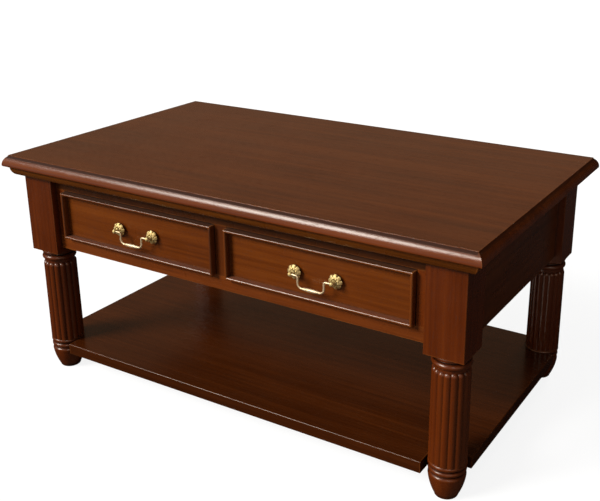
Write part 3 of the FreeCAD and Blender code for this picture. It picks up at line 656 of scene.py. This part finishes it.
def pale_floor():
    """A wide pale floor. It looks white where light reaches it and keeps the shadow."""
    shape = bmesh.new()
    bmesh.ops.create_grid(shape, x_segments=1, y_segments=1, size=FLOOR_HALF_WIDTH)
    mesh = bpy.data.meshes.new("floor")
    shape.to_mesh(mesh)
    shape.free()
    floor = bpy.data.objects.new("floor", mesh)
    bpy.context.scene.collection.objects.link(floor)
    made, tree, shader = new_material("pale floor")
    tree.nodes.remove(shader)
    path = add(tree, "LightPath").outputs
    place = add(tree, "TexCoord").outputs["Object"]
    depth = add(tree, "SeparateXYZ", {}, {0: place}).outputs["Y"]
    mirrored = mirror_rays(tree, path)
    white = calc(tree, "MULTIPLY", mirrored,
                 span(tree, depth, *MIRRORED_WHITE, MIRRORED_WHITE_LEVEL, 0.0))
    seen = calc(tree, "MULTIPLY_ADD", path["Is Camera Ray"], FLOOR_GLOW, white)
    dim = blend(tree, span(tree, depth, *MIRRORED_CHANGE), MIRRORED_BACK, MIRRORED_FRONT)
    shade = blend(tree, mirrored, FLOOR_COLOUR, dim)
    matt = add(tree, "BsdfDiffuse", {}, {"Color": shade})
    glow = add(tree, "Emission", {}, {"Color": WHITE, "Strength": seen})
    both = add(tree, "AddShader", {}, {0: matt.outputs[0], 1: glow.outputs[0]})
    tree.links.new(both.outputs[0], tree.nodes["Material Output"].inputs["Surface"])
    mesh.materials.append(made)


# Light

LIGHT_COLOUR = (1.0, 0.98, 0.95)
# In mirror images the world has one colour and is at least this bright. A patch lies
# behind the table on the left, and a low band in front of it. A range goes from where
# they have faded out to where they are full, as shares of a direction along one axis, and
# the band's levels belong to the two ends of its height.
AIR_COLOUR = (1.0, 0.655, 0.417, 1.0)
AIR_LEVEL = 0.02
AIR_LIGHT = 0.18
PATCH_SIDE = (-0.02, -0.22)
PATCH_DEPTH = (0.15, 0.45)
PATCH_HEIGHT = (0.60, 0.42)
PATCH_LEVEL = 0.21
BAND_DEPTH = (-0.15, -0.45)
BAND_HEIGHT = (0.12, 0.70)
BAND_LEVELS = (0.75, 0.10)


def soft_sun(name, towards, angle, level, mirrored=True):
    """Even light from one direction. At level 1 a surface that faces it shows its colour."""
    lamp = bpy.data.lights.new(name, "SUN")
    lamp.energy = math.pi * level
    lamp.angle = math.radians(angle)
    lamp.color = LIGHT_COLOUR
    made = bpy.data.objects.new(name, lamp)
    bpy.context.scene.collection.objects.link(made)
    made.rotation_euler = Vector(towards).to_track_quat("Z", "Y").to_euler()
    made.visible_glossy = mirrored


def studio_air():
    """The world: white for the camera, warm and uneven in mirror images, plain for light."""
    world = bpy.data.worlds.new("studio air")
    bpy.context.scene.world = world
    world.use_nodes = True
    tree = world.node_tree
    path = add(tree, "LightPath").outputs
    aim = add(tree, "TexCoord").outputs["Generated"]
    parts = add(tree, "SeparateXYZ", {}, {0: aim}).outputs
    side, depth, height = parts["X"], parts["Y"], parts["Z"]
    patch = calc(tree, "MULTIPLY", span(tree, side, *PATCH_SIDE, 0.0, PATCH_LEVEL, smooth=True),
                 span(tree, depth, *PATCH_DEPTH, smooth=True))
    patch = calc(tree, "MULTIPLY", patch, span(tree, height, *PATCH_HEIGHT, smooth=True))
    band = calc(tree, "MULTIPLY", span(tree, height, *BAND_HEIGHT, *BAND_LEVELS, smooth=True),
                span(tree, depth, *BAND_DEPTH, smooth=True))
    around = calc(tree, "ADD", calc(tree, "ADD", patch, band), AIR_LEVEL)
    mirrored = mirror_rays(tree, path)
    strength = calc(tree, "MULTIPLY_ADD", mirrored, around, path["Is Camera Ray"])
    strength = calc(tree, "MULTIPLY_ADD", path["Is Diffuse Ray"], AIR_LIGHT, strength)
    colour = blend(tree, mirrored, WHITE, AIR_COLOUR)
    back = tree.nodes["Background"]
    tree.links.new(colour, back.inputs["Color"])
    tree.links.new(strength, back.inputs["Strength"])


# Camera, where the photograph was taken from

CAMERA_PLACE = (1.0308, -1.5566, 1.0349)
CAMERA_TURN = (70.947, -0.027, 30.806)
CAMERA_SENSOR = 36.0
CAMERA_LENS = 54.634
CAMERA_SHIFT = (-0.06856, -0.07172)


def photograph_camera():
    """A camera with its place in metres, its turn in degrees and its lens in millimetres."""
    lens = bpy.data.cameras.new("camera")
    lens.sensor_width = CAMERA_SENSOR
    lens.lens = CAMERA_LENS
    lens.shift_x, lens.shift_y = CAMERA_SHIFT
    made = bpy.data.objects.new("camera", lens)
    bpy.context.scene.collection.objects.link(made)
    made.location = CAMERA_PLACE
    made.rotation_euler = [math.radians(angle) for angle in CAMERA_TURN]
    bpy.context.scene.camera = made


pale_floor()
studio_air()
# The main light stands at the left in front, at three heights. Weaker ones fill in from
# behind and from beside the camera.
soft_sun("key low", (-0.52, -0.66, 0.54), angle=30.0, level=0.54, mirrored=False)
soft_sun("key", (-0.50, -0.68, 0.535), angle=22.0, level=0.78)
soft_sun("key high", (-0.56, -0.39, 0.73), angle=15.0, level=0.10)
soft_sun("rear", (0.0, 0.90, 0.43), angle=20.0, level=0.32, mirrored=False)
soft_sun("beside the camera", (0.46, -0.74, 0.49), angle=9.0, level=0.07)
photograph_camera()
bpy.context.scene.view_settings.view_transform = "Standard"
